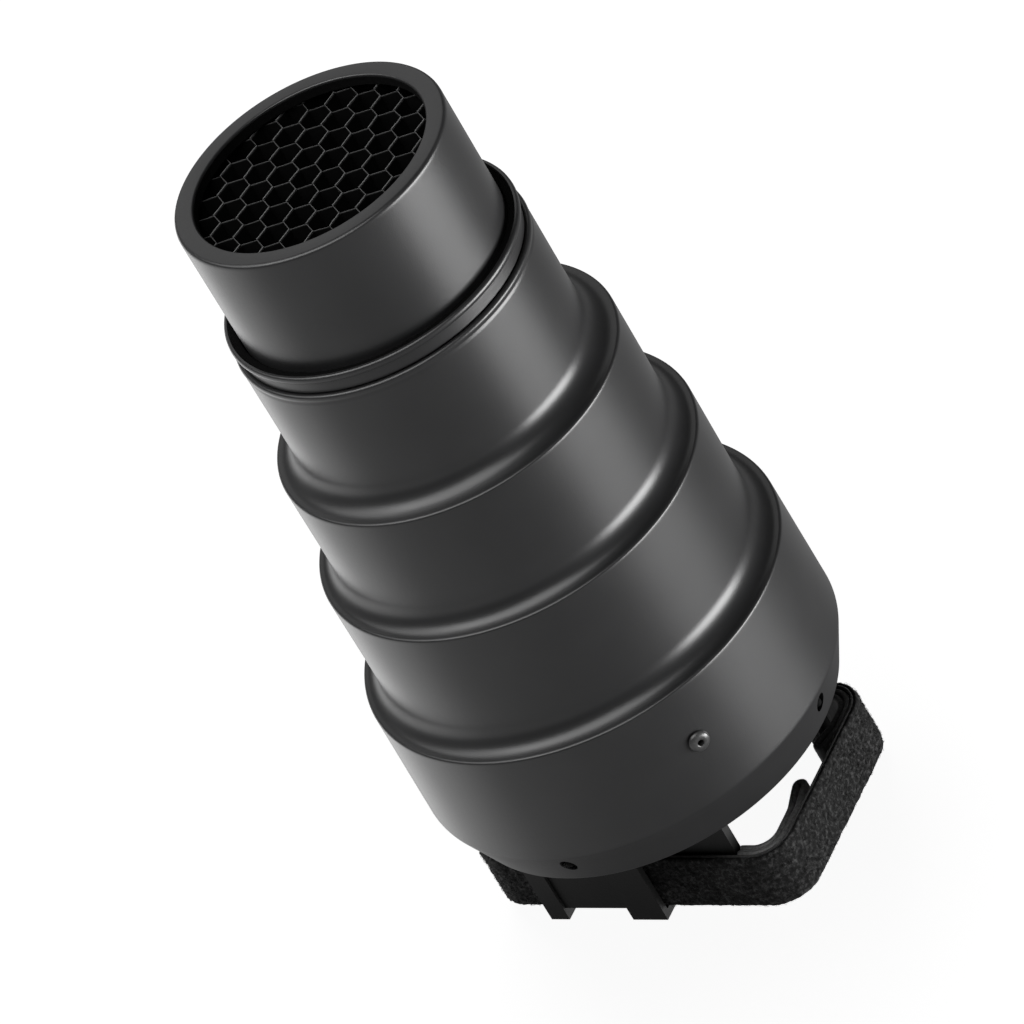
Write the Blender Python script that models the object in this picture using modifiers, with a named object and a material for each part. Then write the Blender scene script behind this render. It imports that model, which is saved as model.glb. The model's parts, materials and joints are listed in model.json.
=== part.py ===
"""Stepped conical snoot with a pull-out honeycomb grid and a strap-on flash-head mount.

The snoot stands on the feet of its two jaws, light exit up (+Z).  The origin is on the
floor under the middle of the snoot.  The jaws face each other along Y, and the strap goes
round them in the plane of the floor.  Everything is in metres.
"""
import math

import bmesh
import bpy
from mathutils import Matrix, Vector

# ---------------------------------------------------------------- driving dimensions
TOTAL_HEIGHT = 0.2160
GAP = 0.0003                 # clearance between pieces that touch
SHEET = 0.0012               # sheet thickness of the spun shell
ROUND_STEPS = 40             # facets round the snoot
SMALL_STEPS = 12             # facets round pegs, rivets and pins
COVE_STEPS = 5

# Shell: three tubes, each flaring through a cove to the edge of the next
NECK_TOP_Z = 0.1803
TUBE_RADII = (0.03755, 0.0438, 0.0489)
COVE_TOP_Z = (0.1500, 0.1170, 0.0820)
COVE_FOOT_Z = (0.1439, 0.1113, 0.0760)
EDGE = 0.0006
DRUM_TOP_RADIUS = 0.0543
DRUM_RADIUS = 0.0548
CREASE_Z = 0.0434
RIM_RADIUS = 0.0498
RIM_Z = 0.0316

# Grid group
SLEEVE_RADIUS = 0.0341
SLEEVE_WALL = 0.0010
SLEEVE_FOOT_Z = 0.1513
LIP_RADIUS = 0.0292
LIP_DEPTH = 0.0030
CORE_RADIUS = 0.0328
CORE_THICKNESS = 0.0120
CELL_PITCH = 0.0072
CELL_WALL = 0.0006
CELL_ANGLE = math.radians(50.5)
CELL_OFFSET = Vector((-0.00227, -0.00069, 0.0))
SNAP_RING_TUBE = 0.0007

# Socket that holds the grid sleeve in the neck
SOCKET_SKIRT_RADIUS = 0.0360
SOCKET_BORE = 0.0354
SOCKET_FOOT_Z = 0.1500
SOCKET_BEAD_RADIUS = 0.0374
SOCKET_TOP_Z = 0.1843
SOCKET_BEAD_HEIGHT = 0.0024
SOCKET_GROOVE_RADIUS = 0.0366
SOCKET_STOP = 0.0010
FELT_INNER = 0.0344
FELT_OUTER = 0.0351
FELT_LENGTH = 0.0200

# Stop ring and its three rivets
RIVET_Z = 0.0605
RIVET_ANGLES = [math.radians(-37 + 120 * k) for k in range(3)]
RIVET_HOLE = 0.0016
RIVET_SHANK = 0.0013
RIVET_HEAD = 0.0027
RIVET_MANDREL = 0.0007
STOP_RADIUS = 0.0532
STOP_BORE = 0.0450
STOP_HEIGHT = 0.0100

# Adapter ring inside the rim
ADAPTER_RADIUS = 0.0479
ADAPTER_REAR_Z = 0.0320
ADAPTER_PLATE_Z = 0.0430
ADAPTER_FRONT_Z = 0.0552
ADAPTER_SKIRT_BORE = 0.0449
WINDOW = (0.0720, 0.0380)

# Snap pegs in two pairs, each peg opposite another
PEG_Z = 0.0395
PEG_ANGLES = [math.radians(angle) for angle in (-1, 96, 179, 276)]
PEG_HOLE = 0.0014
PEG_NOSE = 0.0011
PEG_TIP_R = 0.0532
PEG_COLLAR = 0.0017
PEG_COLLAR_R = (0.0442, 0.0457)
PEG_TAIL = 0.0009
PEG_TAIL_R = 0.0415
PEG_BORE = 0.0020
PEG_BORE_FLOOR_R = 0.0380
GUIDE_BORE = 0.0027
GUIDE_RADIUS = 0.0024
GUIDE_R = (0.0460, 0.0476)
SPRING_COIL = 0.00145
SPRING_WIRE = 0.0002
SPRING_TURNS = 3

# Radial stretch of the cutters for the holes in the shell
HOLE_START_R = 0.0450
HOLE_END_R = 0.0600

# The mount's own middle, 3 mm off the snoot's axis: the jaws and the strap are drawn round it
MOUNT_Y = -0.0030

# Jaws, drawn for the one on the -Y side; the other is the same turned half round
HINGE_Y = 0.0250
HINGE_Z = 0.0380
PIN_RADIUS = 0.0010
PIN_BORE = 0.0013
PIN_HALF_LENGTH = 0.0365
BARREL_RADIUS = 0.0026
JAW_HALF_WIDTH = 0.0320
JAW_PLATE_Y = (0.0242, 0.0267)
JAW_EDGE_Z = 0.0030
KEEPER_X = (-0.0283, 0.0055)
KEEPER_Y = 0.0304
KEEPER_TOP_Z = 0.0308
LEFT_BAR_X = (-0.0283, -0.0230)
MIDDLE_BAR_X = (-0.0045, 0.0055)
BAR_Y = 0.0312
POCKET_Y = (0.0220, 0.0280)
POCKET_TOP_Z = 0.0410
PAD_Y = (0.0224, 0.0239)
PAD_HALF_WIDTH = 0.0290
PAD_Z = (0.0040, 0.0240)

# Strap: a rounded rectangle round both jaws, given by its centre line
STRAP_HALF_X = 0.0443
STRAP_HALF_Y = 0.0282
STRAP_CORNER = 0.0088
STRAP_THICKNESS = 0.0018
STRAP_Z = (0.0023, 0.0187)
INNER_LAYER = 0.0030
TAIL_REACH = 0.0045
FOLD_REACH = 0.0090

BLACK_METAL = (0.035, 0.035, 0.037)
BLACK_PLASTIC = (0.012, 0.012, 0.013)
STRAP_BLACK = (0.010, 0.010, 0.011)
RUBBER_BLACK = (0.018, 0.018, 0.018)
STEEL = (0.45, 0.45, 0.47)


# ---------------------------------------------------------------- scene and materials
def clear_scene():
    for obj in list(bpy.data.objects):
        bpy.data.objects.remove(obj, do_unlink=True)


def new_collection(name):
    collection = bpy.data.collections.new(name)
    bpy.context.scene.collection.children.link(collection)
    return collection


def new_material(name, color, roughness, metallic=0.0):
    material = bpy.data.materials.new(name)
    material.use_nodes = True
    shader = material.node_tree.nodes["Principled BSDF"]
    shader.inputs["Base Color"].default_value = (*color, 1.0)
    shader.inputs["Roughness"].default_value = roughness
    shader.inputs["Metallic"].default_value = metallic
    return material


def place(name, mesh, collection, material=None):
    obj = bpy.data.objects.new(name, mesh)
    collection.objects.link(obj)
    if material:
        obj.data.materials.append(material)
    return obj


def as_cutter(obj):
    obj.hide_render = True
    obj.display_type = 'WIRE'
    return obj


# ---------------------------------------------------------------- shape makers
def turned(name, outline, collection, material=None, steps=ROUND_STEPS, closed=True):
    """A body turned round Z from (radius, height) points that run down its outer side."""
    count = len(outline)
    edges = [(i, i + 1) for i in range(count - 1)]
    if closed:
        edges.append((count - 1, 0))
    mesh = bpy.data.meshes.new(name)
    mesh.from_pydata([(radius, 0.0, z) for radius, z in outline], edges, [])
    obj = place(name, mesh, collection, material)
    screw = obj.modifiers.new("Turn", 'SCREW')
    screw.axis = 'Z'
    screw.angle = math.tau
    screw.steps = steps
    screw.render_steps = steps
    screw.use_merge_vertices = True
    screw.merge_threshold = 0.00001
    screw.use_smooth_shade = True
    return obj


def box(name, low, high, collection, material=None, bevel=0.0):
    """A box between two corners, with an optional rounded edge."""
    low = Vector(low)
    high = Vector(high)
    bm = bmesh.new()
    bmesh.ops.create_cube(bm, size=1.0)
    bmesh.ops.scale(bm, vec=high - low, verts=bm.verts)
    bmesh.ops.translate(bm, vec=(low + high) / 2, verts=bm.verts)
    mesh = bpy.data.meshes.new(name)
    bm.to_mesh(mesh)
    bm.free()
    obj = place(name, mesh, collection, material)
    if bevel:
        rounding = obj.modifiers.new("Edge", 'BEVEL')
        rounding.width = bevel
        rounding.segments = 2
    return obj


def rod_along_x(name, radius, half_length, y, z, collection, material=None):
    bm = bmesh.new()
    bmesh.ops.create_cone(bm, cap_ends=True, segments=SMALL_STEPS, radius1=radius,
                          radius2=radius, depth=2 * half_length,
                          matrix=Matrix.Rotation(math.pi / 2, 4, 'Y'))
    bmesh.ops.translate(bm, vec=(0.0, y, z), verts=bm.verts)
    mesh = bpy.data.meshes.new(name)
    bm.to_mesh(mesh)
    bm.free()
    return place(name, mesh, collection, material)


def cut(obj, cutter, operation='DIFFERENCE'):
    modifier = obj.modifiers.new(operation.title(), 'BOOLEAN')
    modifier.operation = operation
    modifier.object = cutter
    modifier.solver = 'EXACT'


def point_outward(obj, angle, z):
    """Turns a body made round Z so that its axis points out from the snoot at an angle."""
    obj.rotation_euler = (0.0, math.pi / 2, angle)
    obj.location = (0.0, 0.0, z)


def arc(centre, radius, start, end, steps):
    """Points on a circle, angles in degrees."""
    points = []
    for i in range(steps + 1):
        angle = math.radians(start + (end - start) * i / steps)
        points.append((centre[0] + radius * math.cos(angle),
                       centre[1] + radius * math.sin(angle)))
    return points


def band(name, path, thickness, collection, material):
    """A strap of the given thickness that stands on edge along a path in plan."""
    points = [Vector(point) for point in path]
    left = []
    right = []
    for i, point in enumerate(points):
        before = points[max(i - 1, 0)]
        after = points[min(i + 1, len(points) - 1)]
        along = (after - before).normalized()
        across = Vector((-along.y, along.x)) * thickness / 2
        left.append(point + across)
        right.append(point - across)
    curve = bpy.data.curves.new(name, 'CURVE')
    curve.dimensions = '2D'
    curve.fill_mode = 'BOTH'
    curve.extrude = (STRAP_Z[1] - STRAP_Z[0]) / 2
    outline = left + right[::-1]
    spline = curve.splines.new('POLY')
    spline.points.add(len(outline) - 1)
    for target, point in zip(spline.points, outline):
        target.co = (point.x, point.y, 0.0, 1.0)
    spline.use_cyclic_u = True
    obj = place(name, curve, collection, material)
    obj.location.z = (STRAP_Z[0] + STRAP_Z[1]) / 2
    return obj


def set_on_mount(obj, turn=0.0):
    """Moves a piece drawn round the mount's middle to its place, turned about that middle."""
    obj.rotation_euler.z = turn
    obj.location.y = MOUNT_Y
    return obj


def hang_on(obj, empty):
    """Parents a piece to the empty on its joint without moving it."""
    obj.parent = empty
    obj.matrix_parent_inverse = Matrix.Translation(-empty.location)


def joint_empty(name, location, collection):
    empty = bpy.data.objects.new(name, None)
    empty.empty_display_size = 0.01
    empty.location = location
    collection.objects.link(empty)
    return empty


# ---------------------------------------------------------------- shell
def cove(r_top, r_foot, z_top, z_foot):
    """A concave quarter round from the foot of one tube out to the edge of the next."""
    points = []
    for i in range(COVE_STEPS + 1):
        angle = math.pi / 2 * i / COVE_STEPS
        points.append((r_foot - (r_foot - r_top) * math.cos(angle),
                       z_top - (z_top - z_foot) * math.sin(angle)))
    return points


def drum_radius_at(z):
    share = (COVE_FOOT_Z[2] - z) / (COVE_FOOT_Z[2] - CREASE_Z)
    return DRUM_TOP_RADIUS + share * (DRUM_RADIUS - DRUM_TOP_RADIUS)


def shell_outline():
    next_radii = (TUBE_RADII[1], TUBE_RADII[2], DRUM_TOP_RADIUS)
    outer = [(TUBE_RADII[0] - EDGE, NECK_TOP_Z),
             (TUBE_RADII[0] + EDGE / 4, NECK_TOP_Z - EDGE),
             (TUBE_RADII[0] + EDGE / 4, NECK_TOP_Z - 2 * EDGE),
             (TUBE_RADII[0], NECK_TOP_Z - 3 * EDGE)]
    inner = [(TUBE_RADII[0] - SHEET, NECK_TOP_Z)]
    for radius, wider, z_top, z_foot in zip(TUBE_RADII, next_radii, COVE_TOP_Z, COVE_FOOT_Z):
        outer += cove(radius, wider - EDGE, z_top, z_foot)
        outer.append((wider, z_foot - EDGE))
        inner += cove(radius - SHEET, wider - SHEET, z_top - SHEET / 2, z_foot - SHEET)
    outer += [(DRUM_RADIUS, CREASE_Z + EDGE),
              (DRUM_RADIUS - EDGE / 2, CREASE_Z - EDGE),
              (RIM_RADIUS, RIM_Z)]
    inner += [(DRUM_RADIUS - SHEET, CREASE_Z),
              (RIM_RADIUS - SHEET, RIM_Z)]
    return outer + inner[::-1]


def drill(name, radius, angle, z, cutters):
    """A cutter for a round hole that points straight out from the snoot's axis."""
    outline = [(0.0, HOLE_END_R), (radius, HOLE_END_R), (radius, HOLE_START_R),
               (0.0, HOLE_START_R)]
    hole = turned(name, outline, cutters, steps=SMALL_STEPS, closed=False)
    point_outward(as_cutter(hole), angle, z)
    return hole


def make_shell(parts, cutters, material):
    shell = turned("shell", shell_outline(), parts, material)
    for number, angle in enumerate(PEG_ANGLES, start=1):
        cut(shell, drill(f"peg_hole_{number}", PEG_HOLE, angle, PEG_Z, cutters))
    for number, angle in enumerate(RIVET_ANGLES, start=1):
        cut(shell, drill(f"rivet_hole_{number}", RIVET_HOLE, angle, RIVET_Z, cutters))
    return shell


def make_stop_ring(parts, cutters, material):
    """An L-section ring inside the drum, which the adapter seats against."""
    foot = ADAPTER_FRONT_Z + GAP
    top = foot + STOP_HEIGHT
    outline = [(STOP_RADIUS - SHEET, top), (STOP_RADIUS, top), (STOP_RADIUS, foot),
               (STOP_BORE, foot), (STOP_BORE, foot + SHEET), (STOP_RADIUS - SHEET, foot + SHEET)]
    ring = turned("stop_ring", outline, parts, material)
    for number in range(1, len(RIVET_ANGLES) + 1):
        cut(ring, cutters.objects[f"rivet_hole_{number}"])
    return ring


def make_rivets(parts, material):
    """Domed blind rivets: head outside the shell, clinched tail inside the stop ring."""
    face = drum_radius_at(RIVET_Z) + GAP
    tail = STOP_RADIUS - SHEET - GAP
    outline = [(0.0, face - 0.0006), (RIVET_MANDREL, face - 0.0006),
               (RIVET_MANDREL, face + 0.0011), (RIVET_SHANK, face + 0.0012),
               (RIVET_HEAD - 0.0006, face + 0.0009), (RIVET_HEAD, face + 0.0003),
               (RIVET_HEAD, face), (RIVET_SHANK, face), (RIVET_SHANK, tail),
               (0.0021, tail - 0.0002), (0.0019, tail - 0.0010), (0.0, tail - 0.0012)]
    for number, angle in enumerate(RIVET_ANGLES, start=1):
        rivet = turned(f"rivet_{number}", outline, parts, material, SMALL_STEPS, closed=False)
        point_outward(rivet, angle, RIVET_Z)


# ---------------------------------------------------------------- grid group
def make_grid_socket(parts, material):
    """The ring pushed into the neck: bead on top, skirt down the neck, stop at its foot."""
    shoulder = NECK_TOP_Z + GAP
    bead_foot = SOCKET_TOP_Z - SOCKET_BEAD_HEIGHT
    bore = SLEEVE_RADIUS - SLEEVE_WALL
    outline = [(SOCKET_BORE + 0.0004, SOCKET_TOP_Z), (SOCKET_BEAD_RADIUS - EDGE, SOCKET_TOP_Z),
               (SOCKET_BEAD_RADIUS, SOCKET_TOP_Z - EDGE),
               (SOCKET_BEAD_RADIUS, bead_foot + EDGE),
               (SOCKET_BEAD_RADIUS - EDGE, bead_foot),
               (SOCKET_GROOVE_RADIUS, bead_foot), (SOCKET_GROOVE_RADIUS, shoulder),
               (SOCKET_SKIRT_RADIUS, shoulder), (SOCKET_SKIRT_RADIUS, SOCKET_FOOT_Z),
               (bore, SOCKET_FOOT_Z), (bore, SOCKET_FOOT_Z + SOCKET_STOP),
               (SOCKET_BORE, SOCKET_FOOT_Z + SOCKET_STOP), (SOCKET_BORE, SOCKET_TOP_Z - GAP)]
    return turned("grid_socket", outline, parts, material)


def make_felt_band(parts, material):
    top = NECK_TOP_Z - 0.0020
    foot = top - FELT_LENGTH
    outline = [(FELT_INNER, top), (FELT_OUTER, top), (FELT_OUTER, foot), (FELT_INNER, foot)]
    return turned("felt_band", outline, parts, material)


def make_grid_sleeve(parts, material):
    """The tube that holds the honeycomb, with its edge turned in and down at the front."""
    bore = SLEEVE_RADIUS - SLEEVE_WALL
    top = TOTAL_HEIGHT
    outline = [(LIP_RADIUS + 0.0004, top), (SLEEVE_RADIUS - 0.0009, top),
               (SLEEVE_RADIUS - 0.0003, top - 0.0003), (SLEEVE_RADIUS, top - 0.0009),
               (SLEEVE_RADIUS, SLEEVE_FOOT_Z), (bore, SLEEVE_FOOT_Z), (bore, top - SHEET),
               (LIP_RADIUS + SLEEVE_WALL, top - SHEET), (LIP_RADIUS + SLEEVE_WALL, top - LIP_DEPTH),
               (LIP_RADIUS, top - LIP_DEPTH), (LIP_RADIUS, top - 0.0004)]
    return turned("grid_sleeve", outline, parts, material)


def cell_centres():
    """Centres of every cell of a hexagonal grid that reaches into the core."""
    across = Vector((math.cos(CELL_ANGLE), math.sin(CELL_ANGLE), 0.0)) * CELL_PITCH
    slant = Matrix.Rotation(math.radians(60), 3, 'Z') @ across
    reach = 6
    centres = []
    for i in range(-reach, reach + 1):
        for j in range(-reach, reach + 1):
            centre = CELL_OFFSET + i * across + j * slant
            if centre.length < CORE_RADIUS:
                centres.append(centre)
    return centres


def make_honeycomb_core(parts, cutters, material):
    top = TOTAL_HEIGHT - LIP_DEPTH - GAP
    foot = top - CORE_THICKNESS
    core = turned("honeycomb_core", [(0.0, top), (CORE_RADIUS, top), (CORE_RADIUS, foot),
                                     (0.0, foot)], parts, material, closed=False)
    bm = bmesh.new()
    corner_radius = (CELL_PITCH - CELL_WALL) / math.sqrt(3)
    middle = Vector((0.0, 0.0, (top + foot) / 2))
    turn = Matrix.Rotation(CELL_ANGLE, 4, 'Z')
    for centre in cell_centres():
        bmesh.ops.create_cone(bm, cap_ends=True, segments=6, radius1=corner_radius,
                              radius2=corner_radius, depth=CORE_THICKNESS + 0.004,
                              matrix=Matrix.Translation(centre + middle) @ turn)
    mesh = bpy.data.meshes.new("cells")
    bm.to_mesh(mesh)
    bm.free()
    cells = as_cutter(place("cells", mesh, cutters))
    inside = CORE_RADIUS - CELL_WALL
    bound = turned("cell_bound", [(0.0, top + 0.001), (inside, top + 0.001),
                                  (inside, foot - 0.001), (0.0, foot - 0.001)],
                   cutters, closed=False)
    cut(cells, as_cutter(bound), 'INTERSECT')
    cut(core, cells)
    return core


def make_snap_ring(parts, material):
    """A split wire ring that keeps the core against the lip."""
    bore = SLEEVE_RADIUS - SLEEVE_WALL
    radius = bore - GAP - SNAP_RING_TUBE
    curve = bpy.data.curves.new("core_snap_ring", 'CURVE')
    curve.dimensions = '3D'
    curve.bevel_depth = SNAP_RING_TUBE
    curve.bevel_resolution = 1
    curve.use_fill_caps = True
    points = arc((0.0, 0.0), radius, 10, 350, ROUND_STEPS)
    spline = curve.splines.new('POLY')
    spline.points.add(len(points) - 1)
    for target, (x, y) in zip(spline.points, points):
        target.co = (x, y, 0.0, 1.0)
    ring = place("core_snap_ring", curve, parts, material)
    core_foot = TOTAL_HEIGHT - LIP_DEPTH - GAP - CORE_THICKNESS
    ring.location.z = core_foot - GAP - SNAP_RING_TUBE
    return ring


# ---------------------------------------------------------------- adapter and pegs
def make_adapter(parts, cutters, material):
    """A plate with a window, a skirt in front and a pocket for each jaw behind."""
    outline = [(0.0, ADAPTER_PLATE_Z), (ADAPTER_SKIRT_BORE, ADAPTER_PLATE_Z),
               (ADAPTER_SKIRT_BORE, ADAPTER_FRONT_Z), (ADAPTER_RADIUS, ADAPTER_FRONT_Z),
               (ADAPTER_RADIUS, ADAPTER_REAR_Z), (0.0, ADAPTER_REAR_Z)]
    adapter = turned("adapter_ring", outline, parts, material, closed=False)
    window = box("window", (-WINDOW[0] / 2, -WINDOW[1] / 2, ADAPTER_REAR_Z - 0.002),
                 (WINDOW[0] / 2, WINDOW[1] / 2, ADAPTER_PLATE_Z + 0.002), cutters)
    cut(adapter, set_on_mount(as_cutter(window)))
    for side, turn in (("near", 0.0), ("far", math.pi)):
        half = JAW_HALF_WIDTH + GAP + 0.0001
        pocket = box(f"pocket_{side}", (-half, -POCKET_Y[1], ADAPTER_REAR_Z - 0.002),
                     (half, -POCKET_Y[0], POCKET_TOP_Z), cutters)
        bore = rod_along_x(f"pin_bore_{side}", PIN_BORE, ADAPTER_RADIUS, -HINGE_Y, HINGE_Z,
                           cutters)
        for cutter in (pocket, bore):
            cut(adapter, set_on_mount(as_cutter(cutter), turn))
    for number, angle in enumerate(PEG_ANGLES, start=1):
        outline = [(0.0, HOLE_END_R), (GUIDE_BORE, HOLE_END_R), (GUIDE_BORE, GUIDE_R[0] - GAP),
                   (PEG_BORE, GUIDE_R[0] - GAP), (PEG_BORE, PEG_BORE_FLOOR_R),
                   (0.0, PEG_BORE_FLOOR_R)]
        bore = turned(f"peg_bore_{number}", outline, cutters, steps=SMALL_STEPS, closed=False)
        point_outward(as_cutter(bore), angle, PEG_Z)
        cut(adapter, bore)
    return adapter


def make_peg(number, angle, parts, material):
    """A snap peg: rounded nose through the rim, collar behind the guide, tail in the spring."""
    collar_in, collar_out = PEG_COLLAR_R
    outline = [(0.0, PEG_TIP_R), (0.0007, PEG_TIP_R - 0.0001), (PEG_NOSE, PEG_TIP_R - 0.0006),
               (PEG_NOSE, collar_out), (PEG_COLLAR, collar_out), (PEG_COLLAR, collar_in),
               (PEG_TAIL, collar_in), (PEG_TAIL, PEG_TAIL_R), (0.0, PEG_TAIL_R)]
    peg = turned(f"snap_peg_{number}", outline, parts, material, SMALL_STEPS, closed=False)
    point_outward(peg, angle, PEG_Z)
    return peg


def make_peg_guide(number, angle, parts, material):
    outline = [(PEG_HOLE, GUIDE_R[1]), (GUIDE_RADIUS, GUIDE_R[1]), (GUIDE_RADIUS, GUIDE_R[0]),
               (PEG_HOLE, GUIDE_R[0])]
    guide = turned(f"peg_guide_{number}", outline, parts, material, SMALL_STEPS)
    point_outward(guide, angle, PEG_Z)
    return guide


def make_peg_spring(number, angle, parts, material):
    start = PEG_BORE_FLOOR_R + GAP + SPRING_WIRE
    end = PEG_COLLAR_R[0] - GAP - SPRING_WIRE
    steps = 9 * SPRING_TURNS
    curve = bpy.data.curves.new(f"peg_spring_{number}", 'CURVE')
    curve.dimensions = '3D'
    curve.bevel_depth = SPRING_WIRE
    curve.bevel_resolution = 1
    curve.use_fill_caps = True
    spline = curve.splines.new('POLY')
    spline.points.add(steps)
    for i in range(steps + 1):
        turn = math.tau * SPRING_TURNS * i / steps
        spline.points[i].co = (SPRING_COIL * math.cos(turn), SPRING_COIL * math.sin(turn),
                               start + (end - start) * i / steps, 1.0)
    spring = place(f"peg_spring_{number}", curve, parts, material)
    point_outward(spring, angle, PEG_Z)
    return spring


# ---------------------------------------------------------------- jaws and strap
def make_jaw(side, turn, parts, cutters, material):
    """A hinged plate with a closed keeper for the strap and two feet."""
    jaw = box(f"jaw_{side}", (-JAW_HALF_WIDTH, -JAW_PLATE_Y[1], JAW_EDGE_Z),
              (JAW_HALF_WIDTH, -JAW_PLATE_Y[0], HINGE_Z), parts, material)
    barrel = rod_along_x(f"barrel_{side}", BARREL_RADIUS, JAW_HALF_WIDTH - 0.0001, -HINGE_Y,
                         HINGE_Z, cutters)
    inside = -JAW_PLATE_Y[0] - 0.0005
    keeper = box(f"keeper_{side}", (KEEPER_X[0] + 0.0001, -KEEPER_Y, JAW_EDGE_Z + 0.0002),
                 (KEEPER_X[1] - 0.0001, inside, KEEPER_TOP_Z - 0.0001), cutters)
    bars = [box(f"bar_{number}_{side}", (low, -BAR_Y, 0.0), (high, inside, KEEPER_TOP_Z),
                cutters)
            for number, (low, high) in enumerate((LEFT_BAR_X, MIDDLE_BAR_X))]
    slot = box(f"slot_{side}", (KEEPER_X[0] - 0.001, -STRAP_HALF_Y - STRAP_THICKNESS / 2 - GAP,
                                STRAP_Z[0] - GAP),
               (KEEPER_X[1] + 0.001, -JAW_PLATE_Y[1], STRAP_Z[1] + GAP), cutters)
    bore = rod_along_x(f"jaw_bore_{side}", PIN_BORE, JAW_HALF_WIDTH + 0.002, -HINGE_Y, HINGE_Z,
                       cutters)
    for piece in (barrel, keeper, *bars):
        cut(jaw, as_cutter(piece), 'UNION')
    for piece in (slot, bore):
        cut(jaw, as_cutter(piece))
    for piece in (jaw, barrel, keeper, slot, bore, *bars):
        set_on_mount(piece, turn)
    return jaw


def make_strap_run(side, turn, parts, material):
    """The straight run of strap on one jaw."""
    end = STRAP_HALF_X - STRAP_CORNER - GAP
    run = band(f"strap_{side}", [(-end, -STRAP_HALF_Y), (end, -STRAP_HALF_Y)],
               STRAP_THICKNESS, parts, material)
    return set_on_mount(run, turn)


def make_strap_end(name, sign, reach, parts, material):
    """An inner layer that starts at a jaw's edge, turns the corner and stops part way."""
    corner = (STRAP_HALF_X - STRAP_CORNER, -(STRAP_HALF_Y - STRAP_CORNER))
    radius = STRAP_CORNER - STRAP_THICKNESS / 2 - INNER_LAYER / 2 - 0.00035
    path = [(JAW_HALF_WIDTH + 0.0004, corner[1] - radius)]
    path += arc(corner, radius, -90, 0, 6)
    path += [(corner[0] + radius, (corner[1] - reach) / 2),
             (corner[0] + radius - 0.0008, -reach)]
    path = [(x, sign * y) for x, y in path]
    return set_on_mount(band(name, path, INNER_LAYER, parts, material))


def make_strap_side(name, turn, parts, material):
    """One short side of the strap loop, with its two corners."""
    corner_x = STRAP_HALF_X - STRAP_CORNER
    corner_y = STRAP_HALF_Y - STRAP_CORNER
    path = arc((corner_x, -corner_y), STRAP_CORNER, -90, 0, 6)
    path += arc((corner_x, corner_y), STRAP_CORNER, 0, 90, 6)
    return set_on_mount(band(name, path, STRAP_THICKNESS, parts, material), turn)


def main():
    clear_scene()
    parts = new_collection("stepped_snoot")
    cutters = new_collection("cutters")
    metal = new_material("black_powder_coat", BLACK_METAL, 0.42)
    inner_metal = new_material("black_anodised", BLACK_METAL, 0.6)
    plastic = new_material("black_plastic", BLACK_PLASTIC, 0.5)
    strap = new_material("strap_loop_pile", STRAP_BLACK, 0.95)
    felt = new_material("felt", STRAP_BLACK, 1.0)
    rubber = new_material("rubber_pad", RUBBER_BLACK, 0.8)
    steel = new_material("spring_steel", STEEL, 0.3, 1.0)

    make_shell(parts, cutters, metal)
    make_stop_ring(parts, cutters, inner_metal)
    make_rivets(parts, metal)
    make_grid_socket(parts, metal)
    make_felt_band(parts, felt)
    make_adapter(parts, cutters, plastic)

    grid_joint = joint_empty("grid_pull_axis", Vector((0.0, 0.0, SLEEVE_FOOT_Z)), parts)
    for piece in (make_grid_sleeve(parts, metal),
                  make_honeycomb_core(parts, cutters, inner_metal),
                  make_snap_ring(parts, steel)):
        hang_on(piece, grid_joint)

    for number, angle in enumerate(PEG_ANGLES, start=1):
        middle = (PEG_TIP_R + PEG_TAIL_R) / 2
        axis = joint_empty(f"snap_peg_{number}_axis",
                           Vector((middle * math.cos(angle), middle * math.sin(angle), PEG_Z)),
                           parts)
        hang_on(make_peg(number, angle, parts, plastic), axis)
        make_peg_guide(number, angle, parts, plastic)
        make_peg_spring(number, angle, parts, steel)

    for side, turn, sign in (("near", 0.0, 1), ("far", math.pi, -1)):
        set_on_mount(rod_along_x(f"hinge_pin_{side}", PIN_RADIUS, PIN_HALF_LENGTH, -HINGE_Y,
                                 HINGE_Z, parts, steel), turn)
        hinge = joint_empty(f"jaw_{side}_axis",
                            Vector((0.0, MOUNT_Y - sign * HINGE_Y, HINGE_Z)), parts)
        pad = box(f"jaw_pad_{side}", (-PAD_HALF_WIDTH, -PAD_Y[1], PAD_Z[0]),
                  (PAD_HALF_WIDTH, -PAD_Y[0], PAD_Z[1]), parts, rubber, bevel=0.0004)
        hang_on(set_on_mount(pad, turn), hinge)
        hang_on(make_jaw(side, turn, parts, cutters, plastic), hinge)
        hang_on(make_strap_run(side, turn, parts, strap), hinge)

    hang_on(make_strap_end("strap_tail", 1, TAIL_REACH, parts, strap),
            parts.objects["jaw_near_axis"])
    hang_on(make_strap_end("strap_fold", -1, FOLD_REACH, parts, strap),
            parts.objects["jaw_far_axis"])
    make_strap_side("strap_side_right", 0.0, parts, strap)
    make_strap_side("strap_side_left", math.pi, parts, strap)


main()
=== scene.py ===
import json
import math
import random

import bmesh
import bpy
import numpy as np
from mathutils import Matrix, Vector, noise


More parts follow.
